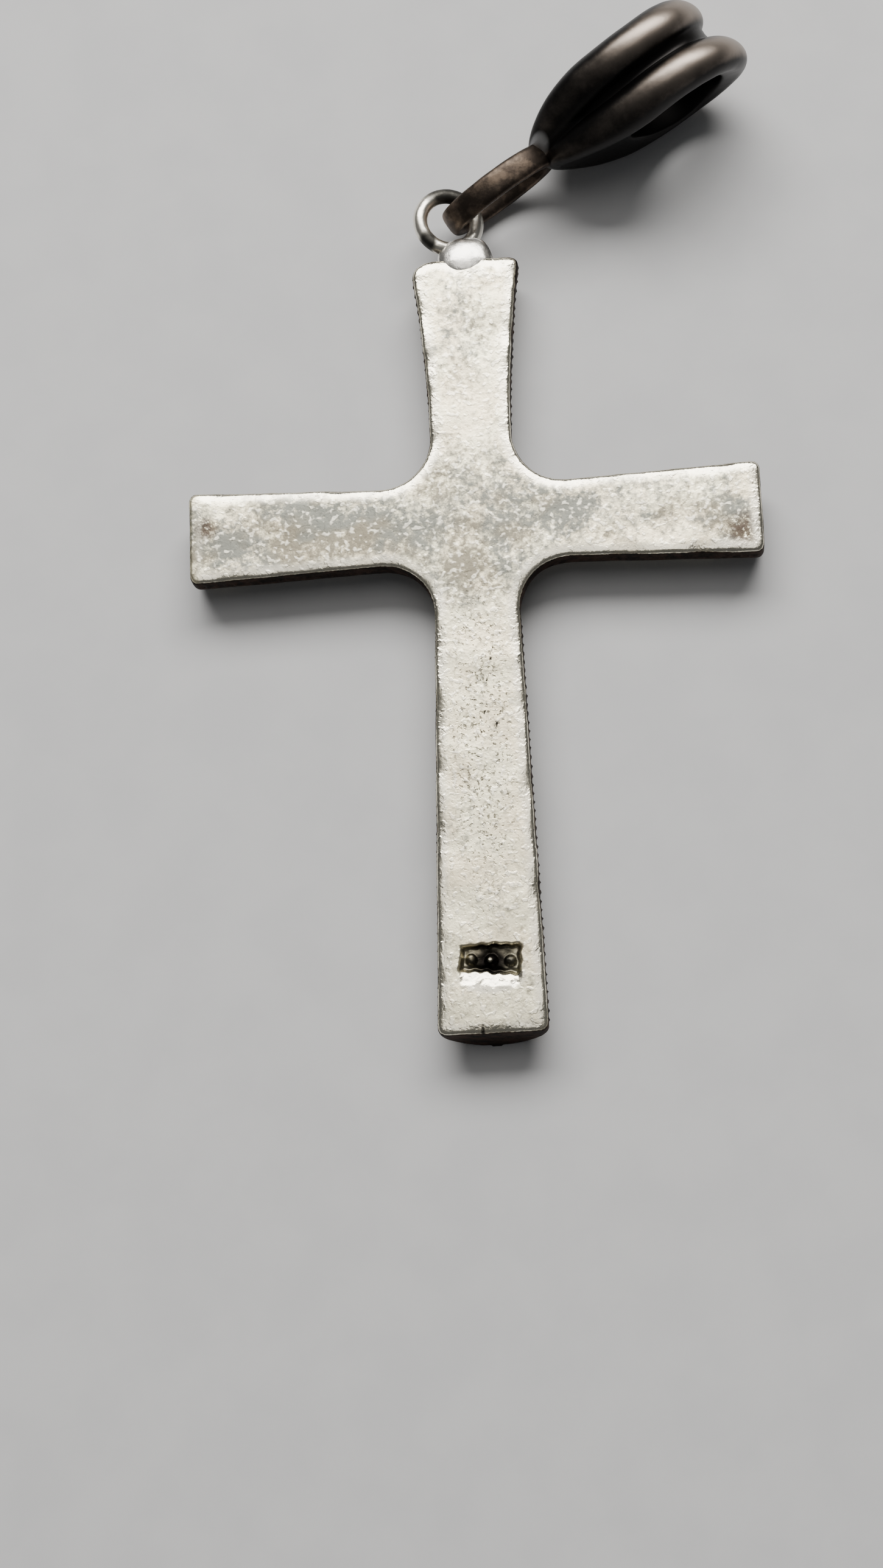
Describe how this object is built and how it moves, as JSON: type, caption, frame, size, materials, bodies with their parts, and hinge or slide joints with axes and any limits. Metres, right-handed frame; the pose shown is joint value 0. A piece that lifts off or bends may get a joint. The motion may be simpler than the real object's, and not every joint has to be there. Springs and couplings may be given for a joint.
{
  "type": "cross pendant",
  "caption": "Flared cast cross pendant with a domed front, lying face down, its soldered wire eye linked to a double-ridged oval bail.",
  "frame": {"origin": "centre of the flat back, where the centre lines of the foot and the side arms cross", "axes": "+Z out of the flat back, which lies upwards; +Y towards the eye and the bail; +X towards the right side arm as the back is seen"},
  "size_m": [0.0235, 0.0422, 0.0065],
  "materials": {
    "silver": "satin, lightly tarnished",
    "oxidised_silver": "glossy, blackened"
  },
  "bodies": {
    "root": {"cross": "silver", "bail": "oxidised_silver"}
  },
  "joints": []
}
